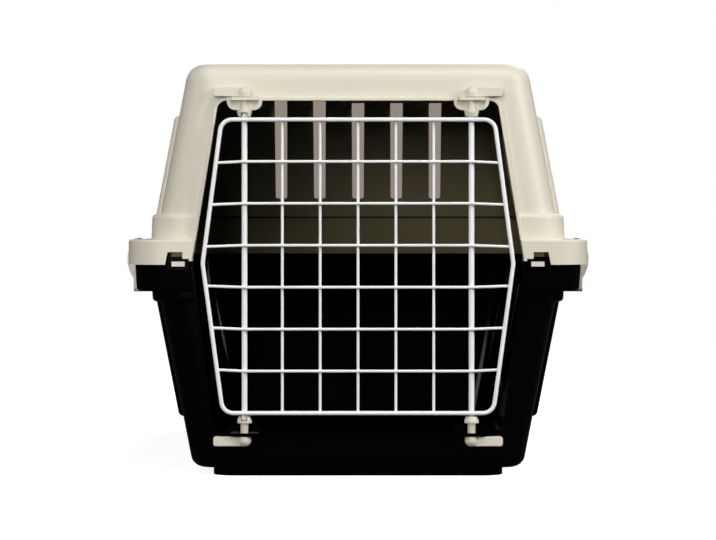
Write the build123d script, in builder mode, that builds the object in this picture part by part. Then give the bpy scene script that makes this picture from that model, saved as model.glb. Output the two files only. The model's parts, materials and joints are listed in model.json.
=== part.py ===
import os
from math import radians, sin

from build123d import *

os.makedirs("parts", exist_ok=True)

# A small two-part plastic pet carrier with a wire door, in millimetres.
# +Z is up, the door faces -Y, and the origin is on the floor under the middle of the box.

# Heights of the shells
base_height = 5.1  # foot ring under the lower shell
seam_z = 152.2  # where the inner walls of the two shells meet
roof_z = 292
upper_belt_height = 33  # from the seam up
lower_belt_height = 29.2  # from the seam down

# Plan sizes of the shells, outside faces
wall = 2.5
roof_half_width = 120.9
seam_half_width = 148.4
bottom_half_width = 117.9
upper_swell = 0.9  # how far the upper belt stands out of its side wall at the seam
lower_swell = 1.7
flange_half_length = 240
front_set_back = 11  # from the flange to the front wall, which is upright
rear_set_back = 15.5
rear_lean = 0.198  # how far the rear leans out for each mm of height
wall_corner = 20
roof_edge = 13
bottom_edge = 9
belt_proud = 3  # how far the belt stands out of the front and rear walls
belt_edge = 2.8

# Long panels swelling out of the sides
panel_proud = 5.8
panel_front_margin = 44
panel_rear_margin = 54.5
panel_top_margin = 34.8
panel_bottom_margin = 33.3
panel_corner = 6
panel_edge = 4

# Flanges at the seam: the upper one is a skirt that laps over the lower one
flange_overhang = 15.1  # out of the belt's side
flange_corner = 26
flange_rise = 15  # above the seam
skirt_drop = 2.6  # below the seam
flange_edge = 1.5
lap_gap = 1.7  # between the skirt and the lower flange's wall
lap_rise = 2.5
lower_flange_drop = 21.6
lower_flange_lean = 1.5  # how far the lower flange draws in at its bottom
lower_flange_edge = 3
lower_flange_corner = 22

# Door opening, a six-sided hole with rounded corners and a raised lip
opening_top_margin = 26.6  # below the roof
opening_waist_rise = 1.5  # above the seam
opening_bottom_margin = 25.6
roof_post = 22.3  # from the roof's side to the opening
waist_post = 31.6
bottom_post = 15.9
opening_corner = 7
waist_round = 8
lip_width = 2.2
lip_proud = 4
lip_edge = 0.8

# Snap tongues at the front: a loop of the lower shell holds a tongue of the upper one
tongue_margin = 9.6  # from the opening's waist to the middle of a tongue
tongue_width = 9.2
tongue_thickness = 2.3
tongue_tip_drop = 1.2  # below the skirt
tongue_tip_height = 3.4
loop_wall = 2.2
loop_gap = 0.3
loop_set_back = 0.5
loop_bar_height = 3.2
notch_height = 8.9
notch_offset = 2.2  # from the tongue's middle to the notch's
notch_width = 10.5
notch_slant = 1.7
inner_skirt_rise = 4.2

# Vents
rear_slot_count = 5
rear_slot_pitch = 34.4
rear_slot_top_width = 11.2
rear_slot_bottom_width = 10.2
rear_slot_rise = 16.6  # above the upper belt
rear_slot_run = 13  # how far the rear slots run on over the roof
slot_round = 2
side_slot_count = 6
side_slot_width = 10
side_slot_rise = 16
side_slot_margin = 12  # below the top of the side panel

# Foot ring and its ribs
foot_side_margin = 14.8
foot_front_margin = 3
foot_rear_margin = 12
foot_corner = 15
foot_wall = 3
foot_rib_count = 3

# Door wires
rod_diameter = 4
frame_diameter = 3
thin_diameter = 2
weld = 0.1  # how far crossing wires are sunk into each other where they are welded
axis_out = 4.8  # from the front wall to the rods, the pins and the hinge line
frame_top_gap = 2.6  # from the opening's side to the middle of the frame wire
frame_waist_gap = 7.5
frame_bottom_gap = 6.9
rod_margin = 16  # from the frame's upper corner to a rod
upright_count = 5
frame_waist_drop = 3.5
frame_corner = 8.5
frame_waist_round = 14
crossbar_count = 6
crossbar_droop = 0.9  # the bars' ends bend towards the middle of the door
crossbar_bite = 0.1

# Pins that carry the door rods. Heights are measured from the mouth of the socket.
top_mouth_gap = 11.5  # below the opening's upper edge
bottom_mouth_gap = 11.8
frame_top_drop = 2.2  # from the mouth to the frame wire
frame_bottom_rise = 2.7
socket_clearance = 0.1
socket_depth = 2.8
rod_entry = 2.2
slot_clearance = 0.3
collar_mouth_radius = 4.2
collar_radius = 5.2
collar_taper = 2.8
collar_rim = 1.6
stem_radius = 2.8
stem_clearance = 0.1
knob_radius = 4.7
knob_height = 7.2
lever_height = 6.8
lever_length = 22
lever_rear = 4.2  # behind the pin's axis, close to the front wall
lever_front = 1.8
lever_corner = 1.8
lever_edge = 0.7
pin_play = 0.3

# Brackets that hold the pins: a bowl with two pockets and a ledge at its far end
bracket_width = 24.7
bracket_height = 9.1
bracket_rim = 2.4
bracket_round = 6
bowl_front = 0.6  # in front of the pins' axis
pocket_depth = 1.8
boss_wall = 1.5
ledge_thickness = 2.4
ledge_width = 19
ledge_front = 4.8
ledge_round = 1.5

# Clips that hold the two shells together
clip_width = 45
clip_margin = 112.5  # from the flange's end to the middle of a clip
clip_play = 0.4
clip_thickness = 2.5
clip_bulge = 4.6  # out of the clip's plate
clip_bulge_drop = 14  # below the seam
clip_bulge_rise = 15.6  # above it
clip_bulge_lean = 1  # the bulge's upper end lies this much further in
clip_corner = 3
clip_foot_thickness = 2
clip_foot_reach = 7.3
clip_axis_depth = 4.7  # inside the flange's side
clip_axis_drop = 5.7
clip_barrel_diameter = 5.6
clip_stub_diameter = 3
clip_stub_length = 2
clip_stub_clearance = 0.1
clip_foot_gap = 0.3
clip_arm_height = 4.4
clip_sill_drop = 9  # lower edge of the window in the flange
clip_window_depth = 12.9
cheek_thickness = 2.4
cheek_clearance = 1.5

# Folding carry handle in a recess of the roof
recess_depth = 10
recess_back = 13  # from the handle's pivot
recess_finger_gap = 17  # in front of the grip
recess_half_length = 61
recess_corner = 8
handle_play = 0.5
handle_sink = 1.2  # between the handle and the roof, and under it
handle_x = 0
handle_reach = 55
handle_grip_width = 22
handle_arm_width = 13
handle_edge = 2.5
handle_corner = 12
handle_inner_corner = 6
handle_stub_diameter = 5
handle_stub_length = 2.2
handle_stub_clearance = 0.1

# Places that follow from the sizes above
upper_step_z = seam_z + upper_belt_height
lower_step_z = seam_z - lower_belt_height
panel_top_z = roof_z - panel_top_margin
panel_bottom_z = base_height + panel_bottom_margin
flange_top_z = seam_z + flange_rise
skirt_bottom_z = seam_z - skirt_drop
lap_top_z = seam_z + lap_rise
lower_flange_z = seam_z - lower_flange_drop
inner_skirt_z = skirt_bottom_z + inner_skirt_rise

upper_lean = (seam_half_width - upper_swell - roof_half_width) / (roof_z - seam_z)
lower_lean = (seam_half_width - lower_swell - bottom_half_width) / (seam_z - base_height)
front_y = front_set_back - flange_half_length
rear_seam_y = flange_half_length - rear_set_back
panel_front_y = front_y + panel_front_margin
panel_rear_y = rear_seam_y - panel_rear_margin
flange_half_width = seam_half_width + flange_overhang
flange_front_y = -flange_half_length
lower_flange_half = flange_half_width - wall - lap_gap
lower_flange_front_y = flange_front_y + wall + lap_gap

opening_top_z = roof_z - opening_top_margin
opening_waist_z = seam_z + opening_waist_rise
opening_bottom_z = base_height + opening_bottom_margin
opening_top_half = roof_half_width - roof_post
opening_waist_half = seam_half_width - waist_post
opening_bottom_half = bottom_half_width - bottom_post
opening_cut = 2 * (front_y + wall - flange_front_y)
lip_front_y = front_y - lip_proud

tongue_x = opening_waist_half + tongue_margin
tongue_tip_z = skirt_bottom_z - tongue_tip_drop
notch_x = tongue_x + notch_offset
notch_top_z = skirt_bottom_z + notch_height

axis_y = front_y - axis_out
top_mouth_z = opening_top_z - top_mouth_gap
bottom_mouth_z = opening_bottom_z + bottom_mouth_gap
frame_top_z = top_mouth_z - frame_top_drop
frame_bottom_z = bottom_mouth_z + frame_bottom_rise
frame_waist_z = opening_waist_z - frame_waist_drop
frame_top_half = opening_top_half - frame_top_gap
frame_waist_half = opening_waist_half - frame_waist_gap
frame_bottom_half = opening_bottom_half - frame_bottom_gap
rod_x = frame_top_half - rod_margin
collar_height = collar_taper + collar_rim
lever_start = collar_height + pin_play + bracket_height + pin_play
bowl_front_y = axis_y - bowl_front
ledge_front_y = axis_y - ledge_front

clip_middle_y = flange_half_length - clip_margin
clip_slot_half = clip_width / 2 + clip_play
clip_places = [(side, y) for side in (-1, 1) for y in (-clip_middle_y, clip_middle_y)]
clip_axis_half = flange_half_width - clip_axis_depth
clip_axis_z = flange_top_z - clip_axis_drop
clip_sill_z = flange_top_z - clip_sill_drop
clip_window_half = flange_half_width - clip_window_depth
clip_plate_half = flange_half_width + clip_play
clip_outer_half = clip_plate_half + clip_thickness
clip_foot_half = lower_flange_half - clip_foot_reach
clip_bulge_low_z = seam_z - clip_bulge_drop
clip_bulge_high_z = seam_z + clip_bulge_rise

recess_floor_z = roof_z - recess_depth
recess_low_x = handle_x - recess_back
recess_high_x = handle_x + handle_reach + recess_finger_gap
recess_middle_x = (recess_low_x + recess_high_x) / 2
handle_z = roof_z - recess_depth / 2
handle_thickness = recess_depth - 2 * handle_sink
handle_half_length = recess_half_length - handle_play


def upper_half_width(z):
    return roof_half_width + upper_lean * (roof_z - z)


def lower_half_width(z):
    return bottom_half_width + lower_lean * (z - base_height)


def rear_y(z):
    return rear_seam_y - rear_lean * abs(z - seam_z)


# The half width, front and rear of a wall, a side panel or a belt at a height.
def wall_plan(z, half_width, inset):
    return (half_width - inset, front_y + inset, rear_y(z) - inset)


def panel_plan(half_width, inset):
    return (half_width + panel_proud - inset, panel_front_y + inset, panel_rear_y - inset)


def belt_plan(z, half_width, inset):
    return (half_width - inset, front_y - belt_proud + inset, rear_y(z) + belt_proud - inset)


# A box between two heights with leaning flat sides and rounded upright edges. A front view and
# a side view are extruded and what they share is kept.
def leaning_box(low_z, low_plan, high_z, high_plan, corner, top_edge=0, low_edge=0):
    low_half, low_front, low_rear = low_plan
    high_half, high_front, high_rear = high_plan
    with BuildPart() as box:
        with BuildSketch(Plane.XZ):
            Polygon(
                (-low_half, low_z), (low_half, low_z), (high_half, high_z), (-high_half, high_z), align=None
            )
        extrude(amount=2 * flange_half_length, both=True)
        with BuildSketch(Plane.YZ):
            Polygon(
                (low_front, low_z), (low_rear, low_z), (high_rear, high_z), (high_front, high_z), align=None
            )
        extrude(amount=2 * flange_half_width, both=True, mode=Mode.INTERSECT)
        fillet(box.edges().filter_by(lambda edge: edge.bounding_box().size.Z > (high_z - low_z) / 2), corner)
        if top_edge:
            fillet(box.faces().sort_by(Axis.Z)[-1].edges(), top_edge)
        if low_edge:
            fillet(box.faces().sort_by(Axis.Z)[0].edges(), low_edge)
    return box.part


def plan_section(z, half_width, front, rear, corner):
    with BuildSketch(Plane.XY.offset(z)) as section:
        with Locations((0, (front + rear) / 2)):
            RectangleRounded(2 * half_width, rear - front, corner)
    return section.sketch


# The upper housing as a block. With inset 0 it is the outside, with inset wall the hollow, whose
# edges along the belt and the panels stay sharp.
def upper_block(inset):
    top = roof_z - inset
    panel_top = panel_top_z - inset
    belt_top = upper_step_z - inset
    belt_half = upper_half_width(upper_step_z) + panel_proud
    with BuildPart() as whole:
        add(
            leaning_box(
                seam_z,
                wall_plan(seam_z, upper_half_width(seam_z), inset),
                top,
                wall_plan(top, upper_half_width(top), inset),
                wall_corner - inset,
                top_edge=roof_edge - inset,
            )
        )
        add(
            leaning_box(
                belt_top,
                panel_plan(upper_half_width(belt_top), inset),
                panel_top,
                panel_plan(upper_half_width(panel_top), inset),
                panel_corner - inset,
                top_edge=0 if inset else panel_edge,
            )
        )
        add(
            leaning_box(
                seam_z,
                belt_plan(seam_z, seam_half_width, inset),
                belt_top,
                belt_plan(belt_top, belt_half, inset),
                wall_corner + belt_proud - inset,
                top_edge=0 if inset else belt_edge,
            )
        )
    return whole.part


# The lower housing as a block, the same way.
def lower_block(inset):
    low = base_height + inset
    panel_low = panel_bottom_z + inset
    belt_low = lower_step_z + inset
    belt_half = lower_half_width(lower_step_z) + panel_proud
    with BuildPart() as whole:
        add(
            leaning_box(
                low,
                wall_plan(low, lower_half_width(low), inset),
                seam_z,
                wall_plan(seam_z, lower_half_width(seam_z), inset),
                wall_corner - inset,
                low_edge=bottom_edge - inset,
            )
        )
        add(
            leaning_box(
                panel_low,
                panel_plan(lower_half_width(panel_low), inset),
                belt_low,
                panel_plan(lower_half_width(belt_low), inset),
                panel_corner - inset,
                low_edge=0 if inset else panel_edge,
            )
        )
        add(
            leaning_box(
                belt_low,
                belt_plan(belt_low, belt_half, inset),
                seam_z,
                belt_plan(seam_z, seam_half_width, inset),
                wall_corner + belt_proud - inset,
                low_edge=0 if inset else belt_edge,
            )
        )
    return whole.part


# The outline of the door opening, grown by the width of the lip where asked.
def opening_outline(plane, grow):
    with BuildSketch(plane) as outline:
        with BuildLine():
            Polyline(
                (-opening_top_half, opening_top_z),
                (opening_top_half, opening_top_z),
                (opening_waist_half, opening_waist_z),
                (opening_bottom_half, opening_bottom_z),
                (-opening_bottom_half, opening_bottom_z),
                (-opening_waist_half, opening_waist_z),
                close=True,
            )
        make_face()
        fillet(outline.vertices().group_by(Axis.Y)[1], waist_round)
        fillet(outline.vertices().group_by(Axis.Y)[-1], opening_corner)
        fillet(outline.vertices().group_by(Axis.Y)[0], opening_corner)
        if grow:
            offset(amount=grow)
    return outline.sketch


# The raised lip between two heights, from the inner face of the front wall out to a depth.
def lip_ring(front, low, high):
    with BuildPart() as ring:
        extrude(opening_outline(Plane.XZ.offset(-front_y - wall), lip_width), amount=front_y + wall - front)
        fillet(ring.faces().sort_by(Axis.Y)[0].edges(), lip_edge)
        with Locations((0, front_y, (low + high) / 2)):
            Box(4 * opening_waist_half, 4 * wall_corner, high - low, mode=Mode.INTERSECT)
    return ring.part


# A box between two corners, given in any order.
def span_box(corner, far_corner, mode=Mode.ADD):
    middle = tuple((a + b) / 2 for a, b in zip(corner, far_corner))
    size = [abs(b - a) for a, b in zip(corner, far_corner)]
    with Locations(middle):
        Box(*size, mode=mode)


# A pin bracket on the front wall: a rounded bowl with a pocket each side of a boss, and a ledge
# at the end that is far from the socket. The side is 1 above the door and -1 below it.
def bracket(x, mouth_z, side):
    near = mouth_z + side * (collar_height + pin_play)
    far = near + side * bracket_height
    near_row = 0 if side > 0 else -1
    ledge_z = far - side * ledge_thickness / 2
    boss_width = 2 * (stem_radius + stem_clearance + boss_wall)
    with BuildPart() as bowl:
        with BuildSketch(Plane.XZ.offset(-front_y - wall)) as face:
            with Locations((x, (near + far) / 2)):
                Rectangle(bracket_width, bracket_height)
            fillet(face.vertices().group_by(Axis.Y)[near_row], bracket_round)
        extrude(amount=front_y + wall - bowl_front_y)
        with BuildSketch(Plane.XZ.offset(-bowl_front_y)) as pockets:
            with Locations((x, (near + far) / 2)):
                Rectangle(bracket_width - 2 * bracket_rim, bracket_height - 2 * bracket_rim)
            fillet(pockets.vertices().group_by(Axis.Y)[near_row], bracket_round - bracket_rim)
            with Locations((x, (near + far) / 2)):
                Rectangle(boss_width, bracket_height, mode=Mode.SUBTRACT)
        extrude(amount=-pocket_depth, mode=Mode.SUBTRACT)
        with BuildSketch(Plane.XY.offset(ledge_z - ledge_thickness / 2)) as ledge:
            with Locations((x, (front_y + ledge_front_y) / 2)):
                Rectangle(ledge_width, front_y - ledge_front_y)
            fillet(ledge.vertices().group_by(Axis.Y)[0], ledge_round)
        extrude(amount=ledge_thickness)
    return bowl.part


# The hole for a pin's stem through both plates of its bracket and the lip behind them.
def stem_bore(x, mouth_z, side):
    near = mouth_z + side * (collar_height + pin_play / 2)
    far = mouth_z + side * lever_start
    with BuildPart() as bore:
        with Locations((x, axis_y, (near + far) / 2)):
            Cylinder(stem_radius + stem_clearance, abs(far - near))
    return bore.part


# The roof recess as a block. Grown by the wall, it is the pan that hangs inside the roof.
def recess_block(grow):
    length_x = recess_high_x - recess_low_x + 2 * grow
    length_y = 2 * (recess_half_length + grow)
    with BuildPart() as pan:
        with BuildSketch(Plane.XY.offset(recess_floor_z - grow)):
            with Locations((recess_middle_x, 0)):
                RectangleRounded(length_x, length_y, recess_corner + grow)
        extrude(amount=recess_depth + grow)
    return pan.part


# The skirt of the upper shell: a channel round the seam, open downwards.
with BuildPart() as skirt:
    extrude(
        plan_section(skirt_bottom_z, flange_half_width, flange_front_y, flange_half_length, flange_corner),
        amount=flange_top_z - skirt_bottom_z,
    )
    fillet(skirt.faces().sort_by(Axis.Z)[-1].edges(), flange_edge)
    extrude(
        plan_section(
            skirt_bottom_z,
            flange_half_width - wall,
            flange_front_y + wall,
            flange_half_length - wall,
            flange_corner - wall,
        ),
        amount=flange_top_z - wall - skirt_bottom_z,
        mode=Mode.SUBTRACT,
    )
    # The front of the skirt is shorter beside the door, with a notch for each snap loop.
    with BuildSketch(Plane.XZ.offset(-flange_front_y - wall)):
        inner_notch_x = notch_x - notch_width / 2
        outer_notch_x = notch_x + notch_width / 2
        Polygon(
            (-outer_notch_x - notch_slant, skirt_bottom_z),
            (-outer_notch_x, notch_top_z),
            (-inner_notch_x, notch_top_z),
            (-inner_notch_x, inner_skirt_z),
            (inner_notch_x, inner_skirt_z),
            (inner_notch_x, notch_top_z),
            (outer_notch_x, notch_top_z),
            (outer_notch_x + notch_slant, skirt_bottom_z),
            align=None,
        )
    extrude(amount=2 * wall, mode=Mode.SUBTRACT)
    # Bearing cheeks for the clips, and the window between each pair of them.
    for side, y in clip_places:
        for end in (-1, 1):
            cheek_near_y = y + end * clip_slot_half
            cheek_far_y = cheek_near_y + end * cheek_thickness
            span_box(
                (side * clip_window_half, cheek_near_y, lap_top_z + cheek_clearance),
                (side * (flange_half_width - wall / 2), cheek_far_y, flange_top_z - wall / 2),
            )
        span_box(
            (side * clip_window_half, y - clip_slot_half, clip_sill_z),
            (side * (flange_half_width + wall), y + clip_slot_half, flange_top_z + wall),
            mode=Mode.SUBTRACT,
        )
        with Locations((side * clip_axis_half, y, clip_axis_z)):
            Cylinder(
                clip_stub_diameter / 2 + clip_stub_clearance,
                2 * (clip_slot_half + cheek_thickness),
                rotation=(90, 0, 0),
                mode=Mode.SUBTRACT,
            )

# The ventilation slots: a row in the rear wall and a row through both side panels.
rear_slot_bottom_z = upper_step_z + rear_slot_rise
rear_slot_front_y = rear_y(roof_z) - rear_slot_run
side_slot_top_z = panel_top_z - side_slot_margin
side_slot_bottom_z = upper_step_z + side_slot_rise
side_slot_pitch = (panel_rear_y - panel_front_y) / (side_slot_count + 2)
with BuildPart() as slots:
    with BuildSketch(Plane.XZ.offset(-flange_half_length)) as rear_slots:
        half_top = rear_slot_top_width / 2
        half_bottom = rear_slot_bottom_width / 2
        slot_height = roof_z + wall - rear_slot_bottom_z
        with Locations((0, rear_slot_bottom_z)):
            with GridLocations(rear_slot_pitch, 1, rear_slot_count, 1):
                Polygon(
                    (-half_bottom, 0),
                    (half_bottom, 0),
                    (half_top, slot_height),
                    (-half_top, slot_height),
                    align=None,
                )
        fillet(rear_slots.vertices().group_by(Axis.Y)[0], slot_round)
    extrude(amount=flange_half_length - rear_slot_front_y)
    with BuildSketch(Plane.YZ):
        with Locations(((panel_front_y + panel_rear_y) / 2, (side_slot_bottom_z + side_slot_top_z) / 2)):
            with GridLocations(side_slot_pitch, 1, side_slot_count, 1):
                SlotOverall(side_slot_top_z - side_slot_bottom_z, side_slot_width, rotation=90)
    extrude(amount=flange_half_width, both=True)

with BuildPart() as upper_shell:
    add(upper_block(0))
    add(skirt.part)
    add(upper_block(wall), mode=Mode.SUBTRACT)
    add(recess_block(wall))
    add(recess_block(0), mode=Mode.SUBTRACT)
    add(lip_ring(lip_front_y, seam_z, roof_z))
    add(lip_ring(flange_front_y, seam_z, flange_top_z))
    add(slots.part, mode=Mode.SUBTRACT)
    extrude(opening_outline(Plane.XZ.offset(-flange_front_y), 0), amount=-opening_cut, mode=Mode.SUBTRACT)
    for x in (-rod_x, rod_x):
        add(bracket(x, top_mouth_z, 1))
        add(stem_bore(x, top_mouth_z, 1), mode=Mode.SUBTRACT)
    # Snap tongues hanging from the skirt's top plate, each with a hooked tip.
    for side in (-1, 1):
        tongue_low_x = side * tongue_x - tongue_width / 2
        tongue_high_x = side * tongue_x + tongue_width / 2
        tongue_rear_y = flange_front_y + wall + tongue_thickness
        span_box(
            (tongue_low_x, flange_front_y + wall, tongue_tip_z),
            (tongue_high_x, tongue_rear_y, flange_top_z - wall / 2),
        )
        span_box(
            (tongue_low_x, flange_front_y + loop_set_back, tongue_tip_z),
            (tongue_high_x, tongue_rear_y, tongue_tip_z + tongue_tip_height),
        )
    # Bearing holes for the handle through the ends of the recess.
    with Locations((handle_x, 0, handle_z)):
        Cylinder(
            handle_stub_diameter / 2 + handle_stub_clearance,
            2 * (recess_half_length + wall),
            rotation=(90, 0, 0),
            mode=Mode.SUBTRACT,
        )
upper_shell.part.label = "upper_shell"
export_step(upper_shell.part, "parts/upper_shell.step")

# The lower shell, with its flange standing up inside the skirt.
def flange_plan(inset):
    return (lower_flange_half - inset, lower_flange_front_y + inset, -lower_flange_front_y - inset)


lower_flange_hollow = leaning_box(
    lower_flange_z + wall,
    flange_plan(wall + lower_flange_lean),
    lap_top_z,
    flange_plan(wall),
    lower_flange_corner - wall,
)
with BuildPart() as lower_flange:
    add(
        leaning_box(
            lower_flange_z,
            flange_plan(lower_flange_lean),
            lap_top_z,
            flange_plan(0),
            lower_flange_corner,
            low_edge=lower_flange_edge,
        )
    )
    add(lower_flange_hollow, mode=Mode.SUBTRACT)

foot_half_width = bottom_half_width - foot_side_margin
foot_front_y = front_y + foot_front_margin
foot_rear_y = rear_y(base_height) - foot_rear_margin
foot_length = foot_rear_y - foot_front_y
with BuildPart() as foot_ring:
    with BuildSketch():
        with Locations((0, (foot_front_y + foot_rear_y) / 2)):
            RectangleRounded(2 * foot_half_width, foot_length, foot_corner)
            RectangleRounded(
                2 * (foot_half_width - foot_wall),
                foot_length - 2 * foot_wall,
                foot_corner - foot_wall,
                mode=Mode.SUBTRACT,
            )
            with GridLocations(1, foot_length / (foot_rib_count + 1), 1, foot_rib_count):
                Rectangle(2 * foot_half_width - foot_wall, foot_wall)
    extrude(amount=base_height + wall)

with BuildPart() as lower_shell:
    add(lower_block(0))
    add(foot_ring.part)
    add(lower_flange.part)
    add(lower_block(wall), mode=Mode.SUBTRACT)
    add(lip_ring(lip_front_y, opening_bottom_z - lip_width, seam_z))
    add(lip_ring(lower_flange_front_y, lower_flange_z, seam_z))
    extrude(opening_outline(Plane.XZ.offset(-flange_front_y), 0), amount=-opening_cut, mode=Mode.SUBTRACT)
    # The flange's upper edge stops short of the upper shell's lip.
    lip_clear_x = opening_waist_half + lip_width + loop_gap
    span_box(
        (-lip_clear_x, flange_front_y, seam_z),
        (lip_clear_x, lower_flange_front_y + 2 * wall, lap_top_z + wall),
        mode=Mode.SUBTRACT,
    )
    for x in (-rod_x, rod_x):
        add(bracket(x, bottom_mouth_z, -1))
        add(stem_bore(x, bottom_mouth_z, -1), mode=Mode.SUBTRACT)
    for side in (-1, 1):
        # A snap loop: two posts with a bar above and below the window for the tongue's tip.
        window_low_x = side * tongue_x - tongue_width / 2 - loop_gap
        window_high_x = side * tongue_x + tongue_width / 2 + loop_gap
        loop_front_y = flange_front_y + loop_set_back
        loop_top_z = tongue_tip_z + tongue_tip_height + loop_gap + loop_bar_height
        window_low_z = tongue_tip_z - loop_gap
        span_box(
            (window_low_x - loop_wall, loop_front_y, window_low_z - loop_wall),
            (window_high_x + loop_wall, lower_flange_front_y + wall / 2, inner_skirt_z - loop_gap),
        )
        notch_low_x = side * notch_x - notch_width / 2 + loop_gap
        notch_high_x = side * notch_x + notch_width / 2 - loop_gap
        span_box(
            (notch_low_x, loop_front_y, inner_skirt_z - loop_wall),
            (notch_high_x, lower_flange_front_y + wall / 2, loop_top_z),
        )
        span_box(
            (window_low_x, loop_front_y - wall, window_low_z),
            (window_high_x, lower_flange_front_y + 2 * wall, tongue_tip_z + tongue_tip_height + loop_gap),
            mode=Mode.SUBTRACT,
        )
        span_box(
            (window_low_x, flange_front_y + wall - loop_gap, window_low_z),
            (window_high_x, lower_flange_front_y + 2 * wall, lap_top_z + wall),
            mode=Mode.SUBTRACT,
        )
lower_shell.part.label = "lower_shell"
export_step(lower_shell.part, "parts/lower_shell.step")


# A pin: lever and knob outside the bracket, a stem through it and a slotted socket for the rod.
# The lever side is -1 for a lever to the left, with its slot to the front, and 1 the other way.
def door_pin(name, x, mouth_z, side, lever_side):
    dome_start = lever_start + knob_height - knob_radius
    dome_slope = knob_radius * sin(radians(45))
    lever_middle_z = mouth_z + side * (lever_start + lever_height / 2)
    with BuildPart() as lever:
        with BuildSketch(Plane.XZ.offset(-axis_y - lever_rear)) as lever_face:
            with Locations((x + lever_side * lever_length / 2, lever_middle_z)):
                Rectangle(lever_length, lever_height)
            fillet(lever_face.vertices().group_by(Axis.X)[-1 if lever_side > 0 else 0], lever_corner)
        extrude(amount=lever_rear + lever_front)
        fillet(lever.faces().sort_by(Axis.Y)[0].edges(), lever_edge)
    with BuildPart() as pin:
        with BuildSketch(Plane((x, axis_y, mouth_z), x_dir=(1, 0, 0), z_dir=(0, -1, 0))):
            with BuildLine():
                Polyline(
                    (0, side * (lever_start + knob_height)),
                    (0, 0),
                    (collar_mouth_radius, 0),
                    (collar_radius, side * collar_taper),
                    (collar_radius, side * collar_height),
                    (stem_radius, side * collar_height),
                    (stem_radius, side * lever_start),
                    (knob_radius, side * lever_start),
                    (knob_radius, side * dome_start),
                )
                ThreePointArc(
                    (knob_radius, side * dome_start),
                    (dome_slope, side * (dome_start + dome_slope)),
                    (0, side * (lever_start + knob_height)),
                )
            make_face()
        revolve(axis=Axis((x, axis_y, mouth_z), (0, 0, 1)))
        add(lever.part)
        with Locations((x, axis_y, mouth_z + side * socket_depth / 2)):
            Cylinder(rod_diameter / 2 + socket_clearance, socket_depth, mode=Mode.SUBTRACT)
        slot_half = rod_diameter / 2 + slot_clearance
        span_box(
            (x - slot_half, axis_y, mouth_z),
            (x + slot_half, axis_y + lever_side * 2 * collar_radius, mouth_z + side * socket_depth),
            mode=Mode.SUBTRACT,
        )
    pin.part.label = name
    export_step(pin.part, f"parts/{name}.step")


door_pin("pin_top_left", -rod_x, top_mouth_z, 1, -1)
door_pin("pin_top_right", rod_x, top_mouth_z, 1, 1)
door_pin("pin_bottom_left", -rod_x, bottom_mouth_z, -1, -1)
door_pin("pin_bottom_right", rod_x, bottom_mouth_z, -1, 1)

# Door wires. The cross wires lie in front of the rods, and the thin uprights behind them.
cross_y = axis_y - rod_diameter / 2 - thin_diameter / 2 + weld
upright_y = cross_y + thin_diameter - weld
frame_y = axis_y - rod_diameter / 2 - frame_diameter / 2 + weld


# A straight upright wire between two heights.
def upright_wire(name, x, y, diameter, low, high):
    with BuildPart() as wire:
        with Locations((x, y, (low + high) / 2)):
            Cylinder(diameter / 2, high - low)
    wire.part.label = name
    export_step(wire.part, f"parts/{name}.step")


rod_low_z = bottom_mouth_z - rod_entry
rod_high_z = top_mouth_z + rod_entry
upright_wire("door_rod_left", -rod_x, axis_y, rod_diameter, rod_low_z, rod_high_z)
upright_wire("door_rod_right", rod_x, axis_y, rod_diameter, rod_low_z, rod_high_z)
upright_pitch = 2 * rod_x / (upright_count + 1)
for number in range(1, upright_count + 1):
    x = -rod_x + number * upright_pitch
    upright_wire(f"door_upright_{number}", x, upright_y, thin_diameter, frame_bottom_z, frame_top_z)

with BuildPart() as door_frame:
    with BuildLine(Plane.XZ.offset(-frame_y)) as half_path:
        FilletPolyline(
            (0, frame_top_z),
            (frame_top_half, frame_top_z),
            (frame_waist_half, frame_waist_z),
            (frame_bottom_half, frame_bottom_z),
            (0, frame_bottom_z),
            radius=[frame_corner, frame_waist_round, frame_corner],
        )
    with BuildSketch(Plane(origin=half_path.line @ 0, z_dir=half_path.line % 0)):
        Circle(frame_diameter / 2)
    sweep(path=half_path.line)
    mirror(about=Plane.YZ)
door_frame.part.label = "door_frame"
export_step(door_frame.part, "parts/door_frame.step")


# Half the width of the frame's centre line at a height.
def frame_half_width(z):
    if z > frame_waist_z:
        share = (z - frame_waist_z) / (frame_top_z - frame_waist_z)
        return frame_waist_half + share * (frame_top_half - frame_waist_half)
    share = (frame_waist_z - z) / (frame_waist_z - frame_bottom_z)
    return frame_waist_half + share * (frame_bottom_half - frame_waist_half)


# Cross wires, from the bottom up, evenly spaced. Their ends butt against the frame.
crossbar_pitch = (frame_top_z - frame_bottom_z) / (crossbar_count + 1)
door_middle_z = (frame_top_z + frame_bottom_z) / 2
for number in range(1, crossbar_count + 1):
    z = frame_bottom_z + number * crossbar_pitch
    end_z = z + crossbar_droop if z < door_middle_z else z - crossbar_droop
    end_x = frame_half_width(end_z) - frame_diameter / 2 + crossbar_bite
    with BuildPart() as crossbar:
        with BuildLine(Plane.XZ.offset(-cross_y)) as bar_path:
            Polyline((-end_x, end_z), (-rod_x, z), (rod_x, z), (end_x, end_z))
        with BuildSketch(Plane(origin=bar_path.line @ 0, z_dir=bar_path.line % 0)):
            Circle(thin_diameter / 2)
        sweep(path=bar_path.line, transition=Transition.RIGHT)
    crossbar.part.label = f"door_crossbar_{number}"
    export_step(crossbar.part, f"parts/door_crossbar_{number}.step")


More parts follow.
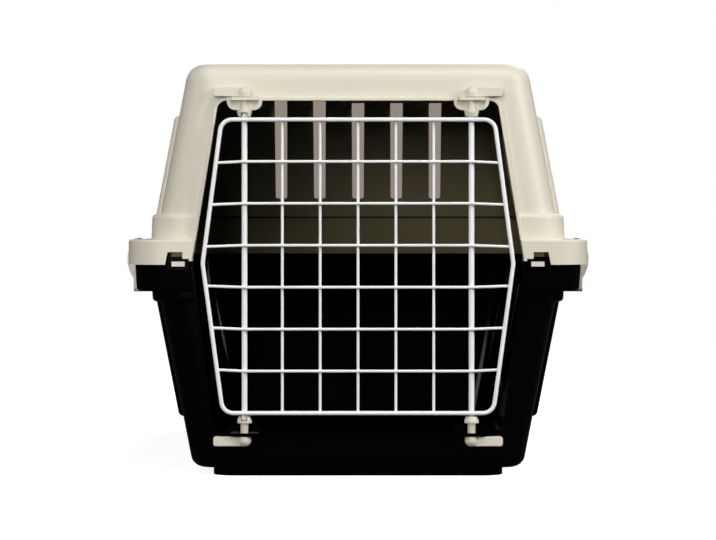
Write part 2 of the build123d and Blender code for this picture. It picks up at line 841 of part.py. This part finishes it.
# A clip: a barrel with two stubs in the skirt, a bulged plate outside and a foot under the
# lower flange.
def clip(name, side, y):
    foot_top_z = lower_flange_z - clip_foot_gap
    foot_low_z = foot_top_z - clip_foot_thickness
    bulge_middle_z = (clip_bulge_low_z + clip_bulge_high_z) / 2
    bulge_end_x = side * (clip_outer_half - clip_bulge_lean)
    outer_x = side * clip_outer_half
    plate_x = side * clip_plate_half
    foot_x = side * clip_foot_half
    with BuildPart() as body:
        with BuildSketch(Plane.XZ.offset(clip_width / 2 - y)):
            with BuildLine():
                ThreePointArc(
                    (outer_x, clip_bulge_low_z),
                    (outer_x + side * clip_bulge, bulge_middle_z),
                    (bulge_end_x, clip_bulge_high_z),
                )
                Polyline(
                    (bulge_end_x, clip_bulge_high_z),
                    (plate_x, clip_bulge_high_z),
                    (plate_x, foot_top_z),
                    (foot_x, foot_top_z),
                    (foot_x, foot_low_z),
                    (outer_x, foot_low_z),
                    (outer_x, clip_bulge_low_z),
                )
            make_face()
            with Locations(((side * clip_axis_half + plate_x) / 2, clip_axis_z)):
                Rectangle(clip_plate_half - clip_axis_half + clip_thickness / 2, clip_arm_height)
            with Locations((side * clip_axis_half, clip_axis_z)):
                Circle(clip_barrel_diameter / 2)
        extrude(amount=-clip_width)
        with BuildSketch(Plane.YZ):
            with Locations((y, (foot_low_z + clip_bulge_high_z) / 2)):
                RectangleRounded(clip_width, clip_bulge_high_z - foot_low_z, clip_corner)
        extrude(amount=2 * side * flange_half_width, mode=Mode.INTERSECT)
        with Locations((side * clip_axis_half, y, clip_axis_z)):
            Cylinder(clip_stub_diameter / 2, 2 * (clip_slot_half + clip_stub_length), rotation=(90, 0, 0))
    body.part.label = name
    export_step(body.part, f"parts/{name}.step")


for side, side_name in ((-1, "left"), (1, "right")):
    clip(f"clip_front_{side_name}", side, -clip_middle_y)
    clip(f"clip_rear_{side_name}", side, clip_middle_y)

# The folding handle, lying in the roof recess with its grip along the length of the carrier.
handle_hole_reach = handle_reach - handle_grip_width
handle_hole_length = 2 * (handle_half_length - handle_arm_width)
stub_reach = recess_half_length + handle_stub_length
stub_length = stub_reach - handle_half_length + handle_edge
with BuildPart() as carry_handle:
    with BuildSketch(Plane.XY.offset(handle_z - handle_thickness / 2)):
        with Locations((handle_x + handle_reach / 2, 0)):
            Rectangle(handle_reach, 2 * handle_half_length)
        with Locations((handle_x + handle_hole_reach / 2, 0)):
            Rectangle(handle_hole_reach, handle_hole_length, mode=Mode.SUBTRACT)
    extrude(amount=handle_thickness)
    fillet(carry_handle.edges().filter_by(Axis.Z).group_by(Axis.X)[1], handle_inner_corner)
    fillet(carry_handle.edges().filter_by(Axis.Z).group_by(Axis.X)[-1], handle_corner)
    faces_z = carry_handle.faces().filter_by(Axis.Z)
    rims = [edge for face in faces_z for edge in face.edges() if edge.center().X > handle_x + handle_edge / 2]
    fillet(rims, handle_edge)
    for end in (-1, 1):
        with Locations((handle_x, end * (handle_half_length - handle_arm_width / 2), handle_z)):
            Cylinder(handle_thickness / 2, handle_arm_width, rotation=(90, 0, 0))
        with Locations((handle_x, end * (stub_reach - stub_length / 2), handle_z)):
            Cylinder(handle_stub_diameter / 2, stub_length, rotation=(90, 0, 0))
carry_handle.part.label = "carry_handle"
export_step(carry_handle.part, "parts/carry_handle.step")
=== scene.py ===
import json
from math import radians

import bmesh
import bpy
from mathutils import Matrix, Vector


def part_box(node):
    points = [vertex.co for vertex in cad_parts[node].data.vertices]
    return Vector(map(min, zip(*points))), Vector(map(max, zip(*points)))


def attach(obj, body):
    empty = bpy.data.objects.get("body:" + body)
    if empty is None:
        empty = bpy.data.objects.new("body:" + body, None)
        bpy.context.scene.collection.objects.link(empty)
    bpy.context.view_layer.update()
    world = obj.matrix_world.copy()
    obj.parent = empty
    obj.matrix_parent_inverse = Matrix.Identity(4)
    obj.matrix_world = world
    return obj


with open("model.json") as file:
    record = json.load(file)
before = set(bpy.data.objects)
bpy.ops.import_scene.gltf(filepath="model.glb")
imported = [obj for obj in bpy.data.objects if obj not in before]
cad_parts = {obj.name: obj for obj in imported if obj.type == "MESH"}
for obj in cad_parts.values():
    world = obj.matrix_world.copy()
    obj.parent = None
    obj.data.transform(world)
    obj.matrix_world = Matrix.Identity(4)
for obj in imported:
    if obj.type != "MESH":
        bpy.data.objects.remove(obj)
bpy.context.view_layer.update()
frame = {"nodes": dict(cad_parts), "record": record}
print("frame loaded")

noiseDetail = 2.0


# Shader maths: a Signal is one socket of a material, and expressions on it add Math nodes.
class Signal:
    def __init__(self, maker, socket):
        self.maker = maker
        self.socket = socket

    def __add__(self, other):
        return self.maker.math("ADD", self, other)

    def __radd__(self, other):
        return self.maker.math("ADD", other, self)

    def __sub__(self, other):
        return self.maker.math("SUBTRACT", self, other)

    def __rsub__(self, other):
        return self.maker.math("SUBTRACT", other, self)

    def __mul__(self, other):
        return self.maker.math("MULTIPLY", self, other)

    def __rmul__(self, other):
        return self.maker.math("MULTIPLY", other, self)


class MaterialMaker:
    def __init__(self, name):
        self.material = bpy.data.materials.new(name)
        self.material.use_nodes = True
        self.tree = self.material.node_tree
        self.tree.nodes.clear()

    def node(self, kind, settings, inputs, output=0):
        made = self.tree.nodes.new(kind)
        for key, value in settings.items():
            setattr(made, key, value)
        for key, value in inputs.items():
            if isinstance(value, Signal):
                self.tree.links.new(value.socket, made.inputs[key])
            else:
                made.inputs[key].default_value = value
        return Signal(self, made.outputs[output])

    def math(self, operation, *values):
        return self.node("ShaderNodeMath", {"operation": operation}, dict(enumerate(values)))

    def place(self):
        return self.node("ShaderNodeTexCoord", {}, {}, "Object")

    def along(self, axis):
        return self.node("ShaderNodeSeparateXYZ", {}, {"Vector": self.place()}, axis)

    def noise(self, scale):
        inputs = {"Vector": self.place(), "Scale": scale, "Detail": noiseDetail}
        return self.node("ShaderNodeTexNoise", {}, inputs)

    # 0 up to the first limit and 1 from the second one on
    def rise(self, value, start, end, interpolation="LINEAR"):
        inputs = {"Value": value, "From Min": start, "From Max": end}
        return self.node("ShaderNodeMapRange", {"interpolation_type": interpolation}, inputs)

    # A Mix node's sockets for colours are its inputs 6 and 7 and its output 2.
    def mix(self, factor, low, high):
        return self.node("ShaderNodeMix", {"data_type": "RGBA"}, {"Factor": factor, 6: low, 7: high}, 2)

    def finish(self, shader):
        end = self.tree.nodes.new("ShaderNodeOutputMaterial")
        self.tree.links.new(shader.socket, end.inputs["Surface"])
        return self.material

    # One shader for the light that falls on the surface and another for what the camera sees
    def finishSplit(self, forLight, forCamera):
        seen = self.node("ShaderNodeLightPath", {}, {}, "Is Camera Ray")
        return self.finish(self.node("ShaderNodeMixShader", {}, {0: seen, 1: forLight, 2: forCamera}))


def linear(red, green, blue):
    def channel(value):
        value /= 255
        return value / 12.92 if value <= 0.04045 else ((value + 0.055) / 1.055) ** 2.4

    return (channel(red), channel(green), channel(blue), 1.0)


def grey(tone):
    return (tone, tone, tone, 1.0)


white = grey(1.0)


# A material in two tones that change slowly over it, its roughness with them, and with a fine grain.
# Where there is a painter, it lays further tones over these two.
def makeSurface(name, look, painter=None):
    maker = MaterialMaker(name)
    cloud = maker.noise(look["cloudScale"])
    colour = maker.mix(cloud, look["dark"], look["light"])
    if painter:
        colour = painter(maker, colour)
    grain = maker.noise(look["grainScale"])
    bump = {"Strength": look["grainStrength"], "Distance": look["grainHeight"], "Height": grain}
    sockets = {
        "Base Color": colour,
        "Roughness": look["roughness"] + look["roughnessChange"] * cloud,
        "Normal": maker.node("ShaderNodeBump", {}, bump),
        "IOR": look["ior"],
    }
    return maker.finish(maker.node("ShaderNodeBsdfPrincipled", {}, sockets))


# The painted step shadow and the painted notch shade each have their limits as a middle and half a width.
cream = {
    "light": linear(228, 222, 206),
    "dark": linear(219, 212, 194),
    # Painted shade: the darker tone laid on the faces inside the cabin, standing in for its shadow
    "inside": linear(134, 124, 88),
    # Painted shadow: a dark line on the inside faces at the height of the rear wall's step, where the ledge's
    # shadow falls
    "stepShadow": linear(14, 12, 8),
    # Painted shade: a dark brown tone on the recessed wall in the skirt's notches, standing in for its shadow
    "notch": linear(82, 68, 46),
    "cloudScale": 9,
    "roughness": 0.4,
    "roughnessChange": 0.1,
    "grainScale": 2600,
    "grainStrength": 0.35,
    "grainHeight": 0.00002,
    "ior": 1.49,
    "cabinMiddle": (0, 0, 0.17),
    "insideFrom": -0.08,
    "insideTo": -0.1,
    "frontWall": -0.2268,
    "stepShadowHeight": (0.1848, 0.0008),
    "notchSide": (0.1295, 0.0105),
    "notchDepth": (-0.2293, 0.0093),
    "notchHeight": (0.1545, 0.0065),
}


# 1 on the faces that look into the cabin from behind the front wall, which get a painted shade: a darker tone
# in place of the shadow inside the cabin
def cabinShadeMask(maker):
    fromMiddle = {0: maker.place(), 1: cream["cabinMiddle"]}
    outwards = maker.node("ShaderNodeVectorMath", {"operation": "SUBTRACT"}, fromMiddle)
    normal = maker.node("ShaderNodeNewGeometry", {}, {}, "True Normal")
    product = {"operation": "DOT_PRODUCT"}
    facing = maker.node("ShaderNodeVectorMath", product, {0: outwards, 1: normal}, "Value")
    inside = maker.rise(facing, cream["insideFrom"], cream["insideTo"])
    return inside * maker.math("GREATER_THAN", maker.along("Y"), cream["frontWall"])


# 1 on the wall that stands back in the skirt's notches, above the black loops, which gets a painted shade in
# place of the shadow in the recess
def inNotch(maker):
    side = maker.math("COMPARE", maker.math("ABSOLUTE", maker.along("X")), *cream["notchSide"])
    depth = maker.math("COMPARE", maker.along("Y"), *cream["notchDepth"])
    height = maker.math("COMPARE", maker.along("Z"), *cream["notchHeight"])
    return side * depth * height


# Lays painted shade over the cream: a darker tone inside the cabin, a painted shadow line under the rear
# wall's step and a painted shade in the skirt's notches
def paintCream(maker, shade):
    # Painted shadow line under the step, laid over the painted inside shade
    stepShadow = maker.math("COMPARE", maker.along("Z"), *cream["stepShadowHeight"])
    inside = maker.mix(stepShadow, cream["inside"], cream["stepShadow"])
    # Painted shade in the notches
    outside = maker.mix(inNotch(maker), shade, cream["notch"])
    return maker.mix(cabinShadeMask(maker), outside, inside)


black = {
    "light": linear(4, 4, 4),
    "dark": linear(1, 1, 1),
    "cloudScale": 11,
    "roughness": 0.09,
    "roughnessChange": 0.05,
    "grainScale": 2200,
    "grainStrength": 0.4,
    "grainHeight": 0.00001,
    "ior": 1.2,
}
wire = {
    "light": linear(252, 252, 251),
    "dark": linear(244, 245, 244),
    "cloudScale": 60,
    "roughness": 0.28,
    "roughnessChange": 0.1,
    "grainScale": 700,
    "grainStrength": 0.2,
    "grainHeight": 0.00001,
    "ior": 1.5,
}
materials = {
    "cream_plastic": makeSurface("creamPlastic", cream, paintCream),
    "black_plastic": makeSurface("blackPlastic", black),
    "white_wire": makeSurface("whiteWire", wire),
}
for subpart in frame["record"]["subparts"]:
    node = frame["nodes"][subpart["node"]]
    for materialSlot in node.material_slots:
        materialSlot.material = materials[subpart["material_slot"]]
print("materials assigned")

# Weld beads under the white coating, where the wires cross each other, the rods and the frame
weld = {"radius": 0.0016, "depth": 0.55, "segments": 12, "rings": 8, "contactY": -0.23575, "wireRadius": 0.001}


# A crossbar's ends bend towards the middle of the door, so its long run lies at the far side of its box.
def crossbarHeight(name):
    low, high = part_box(name)
    doorLow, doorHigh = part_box("door_frame")
    if low[2] + high[2] < doorLow[2] + doorHigh[2]:
        return low[2] + weld["wireRadius"]
    return high[2] - weld["wireRadius"]


def makeWelds():
    heights = [crossbarHeight(name) for name in frame["nodes"] if name.startswith("door_crossbar")]
    frameLow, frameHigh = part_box("door_frame")
    frameRadius = (frameHigh[1] - frameLow[1]) / 2
    heights += [frameLow[2] + frameRadius, frameHigh[2] - frameRadius]
    uprights = [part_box(name) for name in frame["nodes"] if name.startswith(("door_upright", "door_rod"))]
    shape = bmesh.new()
    for low, high in uprights:
        for height in heights:
            bead = bmesh.ops.create_uvsphere(
                shape, u_segments=weld["segments"], v_segments=weld["rings"], radius=weld["radius"]
            )["verts"]
            bmesh.ops.scale(shape, verts=bead, vec=(1, weld["depth"], 1))
            bmesh.ops.translate(shape, verts=bead, vec=((low[0] + high[0]) / 2, weld["contactY"], height))
    for face in shape.faces:
        face.smooth = True
    mesh = bpy.data.meshes.new("door_welds")
    shape.to_mesh(mesh)
    shape.free()
    mesh.materials.append(materials["white_wire"])
    piece = bpy.data.objects.new("door_welds", mesh)
    bpy.context.collection.objects.link(piece)
    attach(piece, "door")


makeWelds()
print("welds made")

greyPatch = {
    "halfWidth": 0.235,
    "middleHeight": 0.370,
    "halfHeight": 0.146,
    "softness": 0.012,
    "colour": linear(146, 136, 127),
}
stage = {
    "floorSize": 14.0,
    "floorTone": 0.7,
    "floorGlow": 0.84,
    "bounceTone": 0.06,
    "shadowReach": 0.75,
    "whiteReach": 1.6,
    "backY": 4.0,
    "backHeight": 6.0,
    "backTone": 0.82,
}


# White, but warm grey in a patch straight behind the carrier, where the photograph's background shows
# through the rear slots
def makeBackdropMaterial():
    maker = MaterialMaker("backdropWhite")
    beside = maker.math("ABSOLUTE", maker.along("X")) - greyPatch["halfWidth"]
    fromMiddle = maker.along("Z") - greyPatch["middleHeight"]
    above = maker.math("ABSOLUTE", fromMiddle) - greyPatch["halfHeight"]
    away = maker.math("MAXIMUM", beside, above)
    outside = maker.rise(away, -greyPatch["softness"], 0.0, "SMOOTHSTEP")
    shade = maker.mix(outside, greyPatch["colour"], white)
    plain = maker.node("ShaderNodeBsdfDiffuse", {}, {"Color": grey(stage["backTone"])})
    shown = maker.node("ShaderNodeEmission", {}, {"Color": shade, "Strength": 1.0})
    return maker.finishSplit(plain, shown)


# The camera sees a pale floor with a little light of its own, so that only the shadow shows on it, and
# away from the carrier it turns as white as the backdrop. The light finds a dark one, which throws
# little back at the carrier.
def makeFloorMaterial():
    maker = MaterialMaker("floorPale")
    plain = maker.node("ShaderNodeBsdfDiffuse", {}, {"Color": grey(stage["floorTone"])})
    bounce = maker.node("ShaderNodeBsdfDiffuse", {}, {"Color": grey(stage["bounceTone"])})
    glow = maker.node("ShaderNodeEmission", {}, {"Color": white, "Strength": stage["floorGlow"]})
    lifted = maker.node("ShaderNodeAddShader", {}, {0: plain, 1: glow})
    bright = maker.node("ShaderNodeEmission", {}, {"Color": white, "Strength": 1.0})
    away = maker.node("ShaderNodeVectorMath", {"operation": "LENGTH"}, {0: maker.place()}, "Value")
    far = maker.rise(away, stage["shadowReach"], stage["whiteReach"], "SMOOTHSTEP")
    shown = maker.node("ShaderNodeMixShader", {}, {0: far, 1: lifted, 2: bright})
    return maker.finishSplit(bounce, shown)


def plane(name, corners, material):
    shape = bmesh.new()
    shape.faces.new([shape.verts.new(corner) for corner in corners])
    mesh = bpy.data.meshes.new(name)
    shape.to_mesh(mesh)
    shape.free()
    mesh.materials.append(material)
    piece = bpy.data.objects.new(name, mesh)
    bpy.context.collection.objects.link(piece)


half = stage["floorSize"] / 2
floorCorners = [(-half, -half, 0), (half, -half, 0), (half, half, 0), (-half, half, 0)]
plane("floor", floorCorners, makeFloorMaterial())
backY, top = stage["backY"], stage["backHeight"]
backdropCorners = [(-half, backY, 0), (half, backY, 0), (half, backY, top), (-half, backY, top)]
plane("backdrop", backdropCorners, makeBackdropMaterial())

# Lights: a lamp far round to the right and a weaker one to the left, two soft ones left of the camera, the
# lower of which also looks in at the door, one above, one behind and a dim even world
lamps = {
    "right": {"place": (2.25, -1.28, 1.1), "aim": (0, -0.2, 0.15), "size": (0.6, 0.6), "power": 40},
    "left": {"place": (-2.2, -1.25, 0.9), "aim": (0, -0.2, 0.15), "size": (0.8, 0.8), "power": 11},
    "frontLow": {"place": (-0.46, -2.7, 0.44), "aim": (0, -0.2, 0.4), "size": (0.86, 0.36), "power": 16},
    "frontHigh": {"place": (-0.8, -2.6, 1.32), "aim": (0, -0.2, 0.6), "size": (0.8, 0.7), "power": 14},
    "top": {"place": (0.3, -1.2, 2.3), "aim": (0, -0.2, 0.15), "size": (0.8, 0.8), "power": 19},
    "rear": {"place": (0.9, 2.3, 1.9), "aim": (0, 0.2, 0.2), "size": (0.9, 0.9), "power": 16},
}
worldStrength = 0.02


def addLamp(name, settings):
    data = bpy.data.lights.new(name, "AREA")
    data.energy = settings["power"]
    data.shape = "RECTANGLE"
    data.size, data.size_y = settings["size"]
    lamp = bpy.data.objects.new(name, data)
    lamp.location = settings["place"]
    direction = Vector(settings["aim"]) - Vector(settings["place"])
    lamp.rotation_euler = direction.to_track_quat("-Z", "Y").to_euler()
    bpy.context.collection.objects.link(lamp)


for lampName, lampSettings in lamps.items():
    addLamp(lampName, lampSettings)

# The camera sees the world in plain white, and the carrier gets only its dim light.
world = bpy.data.worlds.new("studio")
world.use_nodes = True
background = world.node_tree.nodes["Background"]
background.inputs["Color"].default_value = white
lightPath = world.node_tree.nodes.new("ShaderNodeLightPath")
strength = world.node_tree.nodes.new("ShaderNodeMapRange")
strength.inputs["To Min"].default_value = worldStrength
world.node_tree.links.new(lightPath.outputs["Is Camera Ray"], strength.inputs["Value"])
world.node_tree.links.new(strength.outputs["Result"], background.inputs["Strength"])
bpy.context.scene.world = world
print("stage and lights ready")

# Camera, level with the upper belt and looking straight ahead, with the picture shifted down
view = {"distance": 1.846, "height": 0.1762, "lens": 115, "sensor": 36, "shift": -0.0602, "tilt": 90}
cameraData = bpy.data.cameras.new("camera")
cameraData.lens = view["lens"]
cameraData.sensor_width = view["sensor"]
cameraData.shift_y = view["shift"]
camera = bpy.data.objects.new("camera", cameraData)
camera.location = (0, -view["distance"], view["height"])
camera.rotation_euler = (radians(view["tilt"]), 0, 0)
bpy.context.collection.objects.link(camera)
bpy.context.scene.camera = camera
bpy.context.scene.view_settings.view_transform = "Standard"
